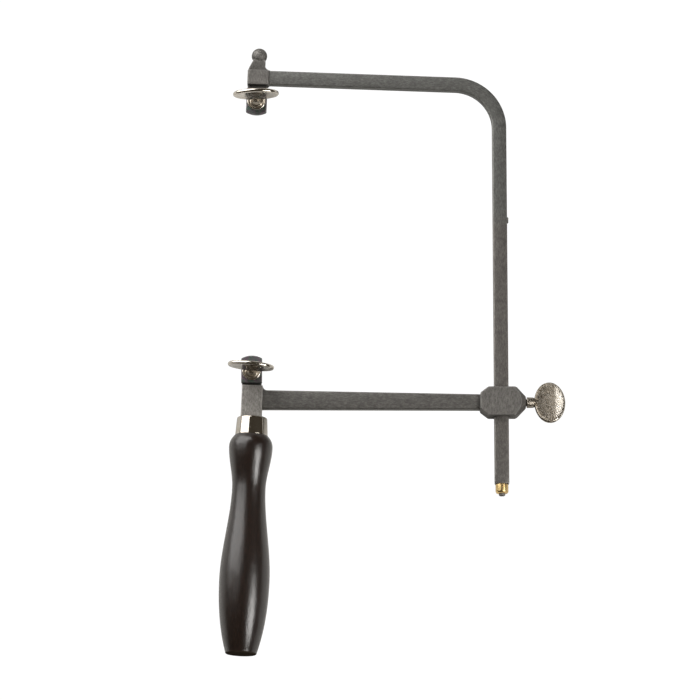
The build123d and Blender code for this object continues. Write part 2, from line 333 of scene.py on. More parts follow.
def worn(mesh, grid, passes):
    """The same solid with its edges worn round, on an even grid."""
    thing = bpy.data.objects.new("worn", mesh)
    remesh = thing.modifiers.new("grid", "REMESH")
    remesh.mode, remesh.voxel_size = "VOXEL", grid
    ease = thing.modifiers.new("ease", "SMOOTH")
    ease.factor, ease.iterations = 0.5, passes
    return evaluated(thing)


def joined(meshes):
    """Several closed skins as one mesh."""
    work = bmesh.new()
    for mesh in meshes:
        work.from_mesh(mesh)
    whole = bpy.data.meshes.new("whole")
    work.to_mesh(whole)
    work.free()
    return whole


# ---------------------------------------------------------------- recipes in Geometry Nodes
class Nodes:
    """A node tree, built with short calls."""

    def put(self, socket, value):
        """Links an input to another node's output, or gives it a value."""
        if isinstance(value, bpy.types.NodeSocket):
            self.tree.links.new(value, socket)
        else:
            socket.default_value = value

    def add(self, kind, settings=None, inputs=None):
        """A new node with its settings and its inputs."""
        node = self.tree.nodes.new(kind)
        for key, value in (settings or {}).items():
            setattr(node, key, value)
        for key, value in (inputs or {}).items():
            self.put(node.inputs[key], value)
        return node

    def math(self, operation, *values):
        """The result of a sum on numbers and outputs."""
        return self.add("ShaderNodeMath", {"operation": operation}, dict(enumerate(values))).outputs[0]


class Recipe(Nodes):
    """A Geometry Nodes tree with named inputs."""

    def __init__(self, name, sizes):
        self.tree = bpy.data.node_groups.new(name, "GeometryNodeTree")
        face = self.tree.interface
        face.new_socket("Geometry", in_out="OUTPUT", socket_type="NodeSocketGeometry")
        face.new_socket("Geometry", in_out="INPUT", socket_type="NodeSocketGeometry")
        self.ids = {}
        for label, kind in sizes.items():
            socket = face.new_socket(label, in_out="INPUT", socket_type="NodeSocket" + kind)
            self.ids[label] = socket.identifier
        self.given = self.tree.nodes.new("NodeGroupInput").outputs

    def finished(self, geometry):
        """Ends the tree with plain, finished geometry."""
        coat = {"Geometry": geometry, "Material": self.given["Finish"]}
        coated = self.add("GeometryNodeSetMaterial", None, coat)
        real = self.add("GeometryNodeRealizeInstances", None, {"Geometry": coated.outputs[0]})
        self.add("NodeGroupOutput", None, {"Geometry": real.outputs[0]})

    def made(self, base, values):
        """The recipe's mesh for some values, on a base mesh."""
        thing = bpy.data.objects.new("made", base)
        step = thing.modifiers.new("recipe", "NODES")
        step.node_group = self.tree
        for label, value in values.items():
            step[self.ids[label]] = value
        return evaluated(thing)


def sizes_of(*labels):
    """The inputs of a recipe: these sizes, and the finish."""
    return {**dict.fromkeys(labels, "Float"), "Finish": "Material"}


def thread_recipe():
    """A rod with a cut thread, whose ends are turned down to the root."""
    recipe = Recipe("cut_thread", {**sizes_of("Length", "Radius", "Pitch", "Depth"), "Rings": "Int"})
    given, sums = recipe.given, recipe.math
    rod_inputs = {"Vertices": 64, "Side Segments": given["Rings"]}
    rod_inputs |= {"Radius": given["Radius"], "Depth": given["Length"]}
    rod = recipe.add("GeometryNodeMeshCylinder", {"fill_type": "TRIANGLE_FAN"}, rod_inputs)
    place = recipe.add("GeometryNodeInputPosition")
    x, y, z = recipe.add("ShaderNodeSeparateXYZ", None, {0: place.outputs[0]}).outputs
    round_share = sums("DIVIDE", sums("ARCTAN2", y, x), 2 * math.pi)
    climb = sums("DIVIDE", z, given["Pitch"])
    phase = sums("FRACT", sums("SUBTRACT", climb, round_share))
    ridge = sums("ABSOLUTE", sums("SUBTRACT", sums("MULTIPLY", phase, 2.0), 1.0))
    crest_inputs = {"Value": ridge, "From Min": 0.1, "From Max": 0.86}
    crest = recipe.add("ShaderNodeMapRange", {"clamp": True}, crest_inputs)
    half = sums("DIVIDE", given["Length"], 2.0)
    to_end = sums("DIVIDE", sums("SUBTRACT", half, sums("ABSOLUTE", z)), given["Pitch"])
    fade_inputs = {"Value": to_end, "From Min": 0.0, "From Max": 0.9}
    fade = recipe.add("ShaderNodeMapRange", {"clamp": True}, fade_inputs)
    full = sums("MULTIPLY", crest.outputs[0], fade.outputs[0])
    deepest = sums("DIVIDE", given["Depth"], given["Radius"])
    scale = sums("SUBTRACT", 1.0, sums("MULTIPLY", sums("SUBTRACT", 1.0, full), deepest))
    cut_inputs = {0: sums("MULTIPLY", x, scale), 1: sums("MULTIPLY", y, scale), 2: z}
    cut = recipe.add("ShaderNodeCombineXYZ", None, cut_inputs)
    threaded_inputs = {"Geometry": rod.outputs["Mesh"], "Position": cut.outputs[0]}
    recipe.finished(recipe.add("GeometryNodeSetPosition", None, threaded_inputs).outputs[0])
    return recipe


def bar_recipe():
    """A rolled flat bar with rounded edges, swept along a path that lies in the XY plane."""
    recipe = Recipe("bent_bar", sizes_of("Width", "Thickness", "Edge", "End Round"))
    given, sums = recipe.given, recipe.math
    path = recipe.add("GeometryNodeMeshToCurve", None, {"Mesh": given["Geometry"]})
    upright = recipe.add("GeometryNodeSetCurveNormal", {"mode": "Z_UP"}, {"Curve": path.outputs[0]})
    size = {"Width": given["Width"], "Height": given["Thickness"]}
    section = recipe.add("GeometryNodeCurvePrimitiveQuadrilateral", None, size)
    round_inputs = {"Curve": section.outputs[0], "Radius": given["Edge"], "Count": 5, "Limit Radius": True}
    section = recipe.add("GeometryNodeFilletCurve", {"mode": "POLY"}, round_inputs)
    along = recipe.add("GeometryNodeSplineParameter").outputs["Length"]
    whole = recipe.add("GeometryNodeCurveLength", None, {"Curve": path.outputs[0]})
    left = sums("SUBTRACT", whole.outputs[0], along)
    near = sums("POWER", sums("MINIMUM", sums("DIVIDE", left, given["End Round"]), 1.0), 0.5)
    scale = sums("MULTIPLY_ADD", near, 0.12, 0.88)
    swept_inputs = {"Curve": upright.outputs[0], "Profile Curve": section.outputs[0]}
    swept_inputs |= {"Scale": scale, "Fill Caps": True}
    recipe.finished(recipe.add("GeometryNodeCurveToMesh", None, swept_inputs).outputs[0])
    return recipe


CUT_THREAD = thread_recipe()
BENT_BAR = bar_recipe()


# ---------------------------------------------------------------- marks on the skins
def mark(mesh, name, values):
    """Stores one number or one vector at each point of a mesh."""
    kind, key = ("FLOAT", "value") if values.ndim == 1 else ("FLOAT_VECTOR", "vector")
    layer = mesh.attributes.new(name, kind, "POINT")
    layer.data.foreach_set(key, values.astype(np.float32).ravel())


def points_of(mesh):
    """The points of a mesh, one row each."""
    place = np.empty(len(mesh.vertices) * 3)
    mesh.vertices.foreach_get("co", place)
    return place.reshape(-1, 3)


def mark_edges(mesh, tightest, spread):
    """Marks how sharply the skin turns: "edge" where it turns outwards, "crease" inwards."""
    count = len(mesh.vertices)
    place = points_of(mesh)
    normal = np.empty(count * 3)
    mesh.vertices.foreach_get("normal", normal)
    normal = normal.reshape(-1, 3)
    ends = np.empty(len(mesh.edges) * 2, int)
    mesh.edges.foreach_get("vertices", ends)
    first, second = ends.reshape(-1, 2).T
    span = place[second] - place[first]
    square = (span**2).sum(1) + 1e-9
    at_first = -(span * normal[first]).sum(1) / square
    at_second = (span * normal[second]).sum(1) / square
    number = np.bincount(first, minlength=count) + np.bincount(second, minlength=count)
    number = np.maximum(number, 1)
    total = np.bincount(first, at_first, count) + np.bincount(second, at_second, count)
    bend = 2 * total / number
    for _ in range(spread):
        total = np.bincount(first, bend[second], count) + np.bincount(second, bend[first], count)
        bend = (bend + total / number) / 2
    mark(mesh, "edge", np.clip(bend * tightest, 0, 1))
    mark(mesh, "crease", np.clip(-bend * tightest, 0, 1))


def ramp(values, low, high):
    """0 below low, 1 above high and a smooth rise between. Low may be above high."""
    share = np.clip((values - low) / (high - low), 0, 1)
    return share * share * (3 - 2 * share)


GRAIN_ORDER = {"X": (0, 1, 2), "Y": (1, 0, 2), "Z": (2, 0, 1)}


def piece(name, mesh, place, finish, body, node, run="X", tightest=0.35, painted_shade_and_local_finish=None, warmth=None):
    """Marks a skin, lays it in the frame and hands it over as a piece that stands for a CAD node.

    The grain runs along one local axis. The shade-and-finish mark and warmth are functions of the local
    points; the shade-and-finish mark carries painted shade in recesses and beside joints, as well as local
    finishes such as scale, tarnish and the bare foot."""
    local = points_of(mesh)
    mark_edges(mesh, tightest, 2)
    mark(mesh, "grain", local[:, GRAIN_ORDER[run]])
    # the shade-and-finish mark: painted shade in recesses and beside joints, and local finishes such as
    # scale, tarnish and the bare foot
    mark(mesh, "painted_shade_and_local_finish", painted_shade_and_local_finish(local) if painted_shade_and_local_finish else np.zeros(len(local)))
    mark(mesh, "warmth", warmth(local) if warmth else np.full(len(local), 0.5))
    mesh.transform(SAW @ place)
    mesh.shade_smooth()
    mesh.set_sharp_from_angle(angle=math.radians(42))
    mesh.name = name
    mesh.materials.clear()
    mesh.materials.append(finish)
    made = bpy.data.objects.new(name, mesh)
    bpy.context.scene.collection.objects.link(made)
    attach(made, body)
    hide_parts(node)
    return made


# ---------------------------------------------------------------- finishes
class Finish(Nodes):
    """A procedural material round one Principled shader."""

    def __init__(self, name):
        self.material = bpy.data.materials.new(name)
        self.material.use_nodes = True
        self.tree = self.material.node_tree
        self.shader = self.tree.nodes["Principled BSDF"]

    def shade(self, **inputs):
        """Sets the shader's own sockets: Base_Color=..., Roughness=... and so on."""
        for key, value in inputs.items():
            self.put(self.shader.inputs[key.replace("_", " ")], value)

    def marked(self, name):
        """A number that the piece's points carry."""
        return self.add("ShaderNodeAttribute", {"attribute_name": name}).outputs["Fac"]

    def grain(self, along, aside):
        """The grain's own coordinates, with their scales along and across the grain, per mm."""
        laid = self.add("ShaderNodeAttribute", {"attribute_name": "grain"}).outputs["Vector"]
        scaled = {"Vector": laid, "Scale": (along, aside, aside)}
        return self.add("ShaderNodeMapping", None, scaled).outputs[0]

    def noise(self, vector, scale, detail, roughness):
        """A noise from 0 to 1 over some coordinates."""
        settings = {"Vector": vector, "Scale": scale, "Detail": detail, "Roughness": roughness}
        return self.add("ShaderNodeTexNoise", None, settings).outputs[0]

    def graded(self, value, low, high, to_low=0.0, to_high=1.0):
        """A value taken from one range to another, and held inside it."""
        ends = {"Value": value, "From Min": low, "From Max": high, "To Min": to_low, "To Max": to_high}
        return self.add("ShaderNodeMapRange", {"clamp": True}, ends).outputs[0]

    def blend(self, share, first, second, how="MIX"):
        """A colour between two, by a share, or the two multiplied."""
        settings = {"data_type": "RGBA", "blend_type": how}
        return self.add("ShaderNodeMix", settings, {0: share, 6: first, 7: second}).outputs[2]

    def bumped(self, layers):
        """Bumps laid over each other, as (height, depth in mm) pairs."""
        normal = None
        for height, depth in layers:
            inputs = {"Height": height, "Distance": depth * MM, "Strength": 1.0}
            if normal is not None:
                inputs["Normal"] = normal
            normal = self.add("ShaderNodeBump", None, inputs).outputs[0]
        return normal


def grey(value, warm=0.0):
    """A grey, with red raised and blue lowered by a warm share."""
    return (value * (1 + warm), value, value * (1 - warm), 1.0)


def satin_steel(name, dark, light, cool, warm, edge_wear_and_highlight, low_gloss, high_gloss, brushing):
    """Rolled or ground steel with its scale, fine lines along the grain and blotches; near-black painted
    shade and scale where a piece marks them, and edges lightened as bare, worn metal and as a painted
    highlight.
    """
    made = Finish(name)
    lines = made.noise(made.grain(0.06, 1.0), 9.0, 4.0, 0.6)
    fine = made.noise(made.grain(0.12, 1.0), 26.0, 2.0, 0.5)
    blotch = made.noise(made.grain(1.0, 1.0), 0.45, 5.0, 0.62)
    specks = made.noise(made.grain(1.0, 1.0), 5.5, 3.0, 0.7)
    tone = made.math("MULTIPLY_ADD", lines, 0.45, made.math("MULTIPLY", blotch, 0.55))
    steel = made.blend(made.graded(tone, 0.38, 0.62), dark, light)
    streaks = made.noise(made.grain(0.3, 1.0), 2.2, 4.0, 0.75)
    streaks = made.graded(streaks, 0.4, 0.62, 0.72, 1.22)
    steel = made.blend(1.0, steel, streaks, "MULTIPLY")
    tinted = made.blend(made.marked("warmth"), cool, warm)
    steel = made.blend(1.0, steel, tinted, "MULTIPLY")
    pits = made.graded(specks, 0.62, 0.76, 0.0, 0.5)
    steel = made.blend(pits, steel, grey(dark[0] * 0.45, 0.08))
    # painted shade: near black in recesses and beside joints, together with braze scale and the darker
    # forged finish, where the piece marks it
    painted_shade_and_scale = made.math("MULTIPLY", made.marked("painted_shade_and_local_finish"), made.graded(blotch, 0.2, 0.6, 0.8, 1.0))
    steel = made.blend(painted_shade_and_scale, steel, grey(0.018, 0.06))
    # edges lightened: bare, worn metal, and also a painted highlight where rounded edges catch the light
    rubbed = made.math("MULTIPLY", made.marked("edge"), made.graded(specks, 0.3, 0.62, 0.25, 1.0))
    steel = made.blend(rubbed, steel, edge_wear_and_highlight)
    steel = made.blend(made.math("MULTIPLY", made.marked("crease"), 0.75), steel, grey(0.03, 0.15))
    gloss = made.math("MULTIPLY_ADD", fine, 0.3, made.math("MULTIPLY", blotch, 0.7))
    roughness = made.graded(gloss, 0.34, 0.66, low_gloss, high_gloss)
    layers = [(lines, brushing), (fine, brushing * 0.5), (specks, 0.012)]
    made.shade(Base_Color=steel, Roughness=roughness, Metallic=1.0, Normal=made.bumped(layers))
    return made.material


def black_steel(name):
    """Blackened steel, faintly blue and purple in painted reflection tints laid out at random, bright where
    its edges are rubbed.
    """
    made = Finish(name)
    painted_reflection_tint = made.noise(made.grain(1.0, 1.0), 0.5, 3.0, 0.5)
    lines = made.noise(made.grain(0.08, 1.0), 10.0, 3.0, 0.6)
    specks = made.noise(made.grain(1.0, 1.0), 6.0, 3.0, 0.7)
    # painted reflection tints: blue-green and purple, laid out at random
    purple, green = (0.14, 0.098, 0.13, 1.0), (0.082, 0.125, 0.105, 1.0)
    colour = made.blend(made.graded(painted_reflection_tint, 0.36, 0.62), purple, green)
    colour = made.blend(made.graded(lines, 0.45, 0.75, 0.0, 0.5), colour, (0.26, 0.25, 0.235, 1.0))
    rubbed = made.math("MULTIPLY", made.marked("edge"), made.graded(specks, 0.35, 0.65, 0.1, 0.7))
    colour = made.blend(rubbed, colour, (0.42, 0.41, 0.39, 1.0))
    roughness = made.graded(specks, 0.35, 0.68, 0.42, 0.6)
    made.shade(Base_Color=colour, Roughness=roughness, Metallic=0.9)
    made.shade(Normal=made.bumped([(lines, 0.01), (specks, 0.01)]))
    return made.material


def polished_nickel(name, tarnish, pitting, haze):
    """Bright, slightly yellow nickel plate with hair scratches, faint pits and brown in its creases."""
    made = Finish(name)
    cloud = made.noise(made.grain(1.0, 1.0), 0.5, 4.0, 0.6)
    hairs = made.noise(made.grain(0.1, 1.0), 14.0, 4.0, 0.65)
    pits = made.noise(made.grain(1.0, 1.0), 2.4, 3.0, 0.65)
    bright, dim = (0.66, 0.622, 0.565, 1.0), (0.565, 0.52, 0.45, 1.0)
    colour = made.blend(made.graded(cloud, 0.35, 0.65), bright, dim)
    stained = made.math("MULTIPLY", made.marked("crease"), made.graded(cloud, 0.3, 0.6, 0.7, 1.0))
    colour = made.blend(stained, colour, (0.2, 0.145, 0.08, 1.0))
    worn_through = made.math("MULTIPLY", made.marked("painted_shade_and_local_finish"), made.graded(pits, 0.4, 0.6, 0.45, 1.0))
    colour = made.blend(worn_through, colour, tarnish)
    colour = made.blend(made.graded(hairs, 0.6, 0.8, 0.0, 0.2), colour, grey(0.45, 0.05))
    hazy = made.math("MULTIPLY_ADD", hairs, 0.5, made.math("MULTIPLY", cloud, 0.5))
    clean_roughness = made.graded(hazy, 0.35, 0.65, haze, haze + 0.1)
    roughness = made.math("MULTIPLY_ADD", made.marked("painted_shade_and_local_finish"), 0.2, clean_roughness)
    made.shade(Base_Color=colour, Roughness=roughness, Metallic=1.0)
    made.shade(Normal=made.bumped([(pits, pitting), (hairs, 0.002)]))
    return made.material


def turned_brass(name):
    """Brass with fine turning lines, deeper coloured where it has been left unpolished."""
    made = Finish(name)
    rings = made.noise(made.grain(1.0, 0.05), 7.0, 3.0, 0.6)
    cloud = made.noise(made.grain(1.0, 1.0), 0.9, 4.0, 0.6)
    bright, deep = (0.8, 0.6, 0.3, 1.0), (0.7, 0.49, 0.2, 1.0)
    colour = made.blend(made.graded(cloud, 0.35, 0.65), bright, deep)
    dull = made.math("MULTIPLY", made.marked("crease"), 0.8)
    colour = made.blend(dull, colour, (0.16, 0.09, 0.03, 1.0))
    roughness = made.graded(rings, 0.35, 0.65, 0.26, 0.4)
    made.shade(Base_Color=colour, Roughness=roughness, Metallic=1.0)
    made.shade(Normal=made.bumped([(rings, 0.012), (cloud, 0.02)]))
    return made.material


def lacquered_wood(name):
    """Turned wood under a thick, almost black gloss lacquer, with its grain just showing through."""
    made = Finish(name)
    grain = made.noise(made.grain(0.05, 1.0), 2.6, 6.0, 0.65)
    pores = made.noise(made.grain(0.07, 1.0), 9.0, 3.0, 0.6)
    sag = made.noise(made.grain(0.35, 1.0), 0.34, 3.0, 0.5)
    peel = made.noise(made.grain(1.0, 1.0), 1.5, 3.0, 0.55)
    black, brown = (0.0045, 0.0022, 0.0014, 1.0), (0.015, 0.0068, 0.004, 1.0)
    colour = made.blend(made.graded(grain, 0.38, 0.66), black, brown)
    colour = made.blend(made.graded(pores, 0.55, 0.72, 0.0, 0.7), colour, (0.006, 0.004, 0.0035, 1.0))
    rubbed = made.math("MULTIPLY", made.marked("edge"), made.graded(peel, 0.4, 0.65, 0.0, 0.35))
    colour = made.blend(rubbed, colour, (0.06, 0.04, 0.028, 1.0))
    colour = made.blend(made.marked("painted_shade_and_local_finish"), colour, (0.032, 0.025, 0.018, 1.0))
    under = made.bumped([(grain, 0.02), (pores, 0.02)])
    drag = made.noise(made.grain(1.0, 0.25), 2.6, 3.0, 0.6)
    top = made.bumped([(sag, 0.2), (peel, 0.09), (drag, 0.05)])
    made.shade(Base_Color=colour, Roughness=made.graded(pores, 0.35, 0.7, 0.32, 0.5), Normal=under)
    gloss = made.math("SUBTRACT", 1.0, made.marked("painted_shade_and_local_finish"))
    made.shade(Specular_IOR_Level=made.math("MULTIPLY", gloss, 0.3), Coat_Weight=gloss, Coat_IOR=1.46)
    made.shade(Coat_Roughness=made.graded(peel, 0.35, 0.65, 0.03, 0.07))
    made.shade(Coat_Normal=top)
    return made.material


def pale_floor(name):
    """White paper, which the camera sees burnt out: camera rays meet a plain white glow, and all other rays
    meet the paper.
    """
    made = Finish(name)
    place = made.add("ShaderNodeTexCoord").outputs["Object"]
    cloud = made.noise(place, 3.0, 3.0, 0.5)
    shades = (0.54, 0.535, 0.52, 1.0), (0.6, 0.595, 0.58, 1.0)
    colour = made.blend(made.graded(cloud, 0.3, 0.7), *shades)
    made.shade(Base_Color=colour, Roughness=0.95, Specular_IOR_Level=0.1)
    burnt = made.add("ShaderNodeEmission", None, {"Color": (1.0, 1.0, 1.0, 1.0), "Strength": 1.05})
    seen = made.add("ShaderNodeLightPath").outputs["Is Camera Ray"]
    mixed = made.add("ShaderNodeMixShader", None, {0: seen, 1: made.shader.outputs[0], 2: burnt.outputs[0]})
    made.tree.links.new(mixed.outputs[0], made.tree.nodes["Material Output"].inputs["Surface"])
    return made.material


ROLLED_TINTS = (0.98, 1.0, 0.96, 1.0), (1.02, 0.965, 0.91, 1.0)
FORGED_TINTS = (0.98, 1.0, 0.97, 1.0), (1.03, 0.97, 0.93, 1.0)
BAR_SHADES = grey(0.142, 0.01), grey(0.212, 0.01), *ROLLED_TINTS, grey(0.36, 0.02)
JAW_SHADES = grey(0.16, 0.02), grey(0.235, 0.02), *FORGED_TINTS, grey(0.4, 0.02)
POST_SHADES = grey(0.28, 0.02), grey(0.41, 0.02), *FORGED_TINTS, grey(0.46, 0.02)
BAR_STEEL = satin_steel("bar_steel", *BAR_SHADES, 0.42, 0.55, 0.016)
JAW_STEEL = satin_steel("jaw_steel", *JAW_SHADES, 0.58, 0.72, 0.02)
POST_STEEL = satin_steel("post_steel", *POST_SHADES, 0.45, 0.6, 0.024)
PLATE_STEEL = black_steel("plate_steel")
WING_NICKEL = polished_nickel("wing_nickel", (0.34, 0.29, 0.22, 1.0), 0.014, 0.11)
THUMB_NICKEL = polished_nickel("thumb_nickel", (0.135, 0.105, 0.068, 1.0), 0.15, 0.07)
FERRULE_NICKEL = polished_nickel("ferrule_nickel", (0.42, 0.3, 0.16, 1.0), 0.006, 0.06)
BRASS = turned_brass("brass")
HANDLE_LACQUER = lacquered_wood("handle_lacquer")


# ---------------------------------------------------------------- pieces of the upper frame
def bar_points():
    """Points along the middle of the bar, from the head's side to the end of the upright."""
    centre = Vector((upright_x - bend_radius, bend_centre_y, 0))
    lean = math.radians(arm_rise)
    along_arm = Vector((-math.cos(lean), math.sin(lean), 0))
    arm_start = centre + Vector((math.sin(lean), math.cos(lean), 0)) * bend_radius
    head_side = Vector((*upper_screw, 0)) - along_arm * (head_offset + head_width / 2)
    arm_length = (head_side - arm_start).dot(along_arm) + 0.6
    points = [arm_start + along_arm * arm_length * (1 - i / 32) for i in range(32)]
    for i in range(36):
        angle = math.radians((90 - arm_rise) * (1 - i / 36))
        points.append(centre + Vector((math.cos(angle), math.sin(angle), 0)) * bend_radius)
    straight = bend_centre_y - upright_end_y - 0.6
    points += [Vector((upright_x, bend_centre_y - straight * i / 56, 0)) for i in range(57)]
    points += [Vector((upright_x, upright_end_y + left, 0)) for left in (0.4, 0.2, 0.08, 0.0)]
    return points


def frame_bar():
    """The bent bar of the upper frame."""
    points = bar_points()
    path = bpy.data.meshes.new("path")
    path.from_pydata(points, [(i, i + 1) for i in range(len(points) - 1)], [])
    sizes = {"Width": bar_width, "Thickness": bar_thickness, "Edge": 0.7, "End Round": 0.5}
    return BENT_BAR.made(path, {**sizes, "Finish": BAR_STEEL})


def bar_grain(local):
    """Along, across and through the bar, at points of it."""
    centre = np.array([upright_x - bend_radius, bend_centre_y])
    out = local[:, :2] - centre
    angle = np.clip(np.arctan2(out[:, 1], out[:, 0]), 0, math.radians(90 - arm_rise))
    radial = np.stack([np.cos(angle), np.sin(angle)], axis=1)
    tangent = np.stack([-np.sin(angle), np.cos(angle)], axis=1)
    along = (out * tangent).sum(1) + angle * bend_radius
    return np.stack([along, (out * radial).sum(1), local[:, 2]], axis=1)


def screw_hole():
    """The space of a jaw's screw."""
    return disc(hole_radius, jaw_back - 1, jaw_face + 1)


def jaw_head():
    """Block, jaw, shoulder and knob of the upper end, forged in one piece, with its braze at the bar."""
    left, right = head_offset - head_width / 2, head_offset + head_width / 2
    tongue_end = -upper_domed_end + plate_dome + 0.9
    half = tongue_width / 2
    neck_end = knob_y - 2.2
    neck = [(left + 0.4, head_top - 1)]
    neck += bowed((left + 0.4, head_top + 0.8), (-3.6, 18.6), (-2.3, neck_end))
    neck += [(3.4, neck_end), *bowed((3.4, 18.6), (3.7, head_top + 1.2), (4.9, head_top + 0.2))]
    neck += [(4.9, head_top - 1)]
    knob = lathed(arc((0, 0), knob_radius, -90, 90, 40), 64)
    braze = disc(1.0, 0, 0.5, top_radius=0.93, segments=4)
    braze.transform(Matrix.Diagonal((bar_thickness * 0.78, bar_width * 0.755, 1, 1)) @ turn(45, "Z"))
    solids = [
        block(left, right, head_bottom, head_top, jaw_back, head_front, 0.4),
        block(-half, half, tongue_end, head_bottom + 1, jaw_back, jaw_face, 0.3),
        prism(neck, -neck_thickness / 2, neck_thickness / 2, 0.3),
        moved(knob, shift(knob_x, knob_y, 0) @ turn(90, "X")),
        moved(braze, shift(right - 0.15, arm_in_head, 0) @ turn(90, "Y")),
    ]
    return worn(combined(solids, [screw_hole()]), 0.14, 5)


def head_painted_shade_and_dark_finish(local):
    """Painted shade in the recess under the block; the neck and the back are given a darker finish than the
    block's ground face.
    """
    # painted shade in the recess under the block
    recess = ramp(local[:, 1], head_bottom + 0.3, head_bottom - 0.3)
    neck = ramp(local[:, 1], head_top - 0.1, head_top + 0.3) * ramp(local[:, 1], 21.0, 19.0)
    below = ramp(local[:, 2], head_front - 0.6, head_front - 1.6) * 0.35
    return np.clip(recess * 0.28 + neck * 0.3 + below, 0, 0.8)


def clamp_plate(flat_end, domed_end):
    """A blade plate, with its domed end at -Y and its edges rubbed round."""
    half = plate_width / 2
    corner = -domed_end + plate_dome
    dome = bowed((-half, corner), (0, -domed_end), (half, corner), 16)
    outline = [(-half, flat_end), *dome, (half, flat_end)]
    back = jaw_face + closed_gap
    plate = prism(outline, back, back + plate_thickness, 0.25)
    hole = disc(plate_hole, back - 1, back + plate_thickness + 1)
    return worn(combined([plate], [hole]), 0.13, 3)


def cut_thread(start, end, finish):
    """A threaded rod along the local Z axis."""
    length = end - start
    rings = round(length / thread_pitch * 9)
    values = {"Length": length, "Radius": thread_radius, "Pitch": thread_pitch, "Depth": thread_depth}
    values |= {"Rings": rings, "Finish": finish}
    rod = CUT_THREAD.made(bpy.data.meshes.new("empty"), values)
    return moved(rod, shift(0, 0, (start + end) / 2))


def paddle(centre_height):
    """The oval finger plate of a screw, dished on both faces, with its width along the local X axis."""
    half, rim = paddle_thickness / 2, paddle_round
    wide, tall = paddle_half_width - rim, paddle_half_height - rim
    face = []
    for i in range(21):
        share = i / 20
        height = half - dish_depth * max(0.0, 1 - (share / dish_share) ** 2)
        face.append((wide * share, height, tall * share))
    edge = []
    for degrees in range(78, -79, -12):
        reach = rim * math.cos(math.radians(degrees))
        edge.append((wide + reach, half * math.sin(math.radians(degrees)), tall + reach))
    back = [(across_half, -height, up_half) for across_half, height, up_half in reversed(face)]
    angles = [2 * math.pi * i / 112 for i in range(112)]
    rings = []
    for across_half, height, up_half in face + edge + back:
        rings.append([(across_half * math.cos(a), height, up_half * math.sin(a)) for a in angles])
    return moved(skin(rings), shift(0, 0, centre_height))


def wing_screw(degrees):
    """A jaw's screw: cut thread, dished collar, coved cone and paddle."""
    seat = seat_height
    top = seat + collar_thickness
    rim = collar_radius - 0.42
    profile = [(0, seat - 0.3), (thread_radius - 0.2, seat - 0.3)]
    profile += [(thread_radius - 0.1, seat), (collar_radius - 0.25, seat)]
    profile += arc((collar_radius - 0.25, seat + 0.25), 0.25, -90, 0, 4)
    profile += arc((collar_radius - 0.4, top - 0.4), 0.4, 0, 90, 6)
    for inset, sink in ((0.12, 0.04), (0.3, 0.24), (0.55, 0.42), (0.8, 0.5)):
        profile.append((rim - inset, top - sink))
    cone_base = (cone_radius - 0.25, top - 0.42)
    cone_top = (cone_top_radius, top + cone_height)
    profile += eased(cone_base, cone_top, -0.9, -0.1, 18) + [cone_top, (0, cone_top[1] + 0.3)]
    screw = combined([lathed(profile), paddle(top + neck_height + paddle_half_height)])
    screw = joined([screw, cut_thread(jaw_back + 0.2, seat - 0.1, WING_NICKEL)])
    return moved(screw, turn(degrees, "Z"))


def wing_soot(local):
    """Tarnish in the dish and low on the cone."""
    radius = np.hypot(local[:, 0], local[:, 1])
    inside = ramp(radius, collar_radius - 0.5, collar_radius - 0.9)
    low = ramp(local[:, 2], seat_height + 4.5, seat_height + 2.0)
    return np.clip(inside * low * 0.85, 0, 1)


# ---------------------------------------------------------------- pieces of the lower frame
def rounded_section(bottom, top, half, radius, steps=4):
    """Points round a rounded rectangle, by its heights and its half thickness."""
    corners = [(half - radius, bottom + radius, -90), (half - radius, top - radius, 0)]
    corners += [(radius - half, top - radius, 90), (radius - half, bottom + radius, 180)]
    points = []
    for z, y, start in corners:
        points += arc((z, y), radius, start, start + 90, steps)
    return [(y, z) for z, y in points]


def lower_arm():
    """The tapered arm, which swells up into the post."""
    post_side = post_x + post_width / 2 + 0.2
    flare_x = post_side + arm_fillet
    places = [4.2, post_side] + [post_side + arm_fillet * i / 10 for i in range(1, 11)]
    end = block_left + 0.8
    places += [flare_x + (end - flare_x) * i / 50 for i in range(1, 51)]
    rings = []
    for x in places:
        share = (x - arm_root_x) / (arm_tip_x - arm_root_x)
        top = arm_root_top + (arm_tip_top - arm_root_top) * share
        bottom = arm_root_bottom + (arm_tip_bottom - arm_root_bottom) * share
        reach = min(max(flare_x - x, 0), arm_fillet)
        top += arm_fillet - math.sqrt(arm_fillet**2 - reach**2)
        rings.append([(x, y, z) for y, z in rounded_section(bottom, top, arm_thickness / 2, 0.8)])
    return skin(rings)


def arm_painted_shadow_and_scale(local):
    """A dark band beside the block: painted contact shadow, together with the scale left by brazing."""
    return ramp(local[:, 0], block_left - 0.75, block_left - 0.35) * 0.95


def post():
    """Post, lower jaw and tang."""
    half = post_width / 2
    upright = block(-half, half, post_bottom, post_top, -post_thickness / 2, post_thickness / 2, 0.35)
    half = tongue_width / 2
    root = lower_screw[1] - post_top + 2
    tongue = block(-half, half, -lower_domed_end + plate_dome / 2, root, -post_thickness / 2, jaw_face, 0.3)
    solids = [moved(upright, ALONG_POST), moved(tongue, IN_LOWER_JAW)]
    body = worn(combined(solids, [moved(screw_hole(), IN_LOWER_JAW)]), 0.15, 3)
    along_tang = [(0, tang_end), (tang_radius - 0.8, tang_end + 0.1), (tang_radius, tang_end + 1.2)]
    along_tang += [(tang_radius, post_bottom + 0.6), (0, post_bottom + 0.6)]
    tang = moved(lathed(along_tang, 40), ALONG_HANDLE @ turn(-90, "X"))
    return joined([body, tang])


def post_painted_shade(local):
    """Painted shade on the jaw behind the plate, and on the line where the plate ends."""
    return ramp(local[:, 1], post_top - 0.1, post_top + 0.4) * 0.92


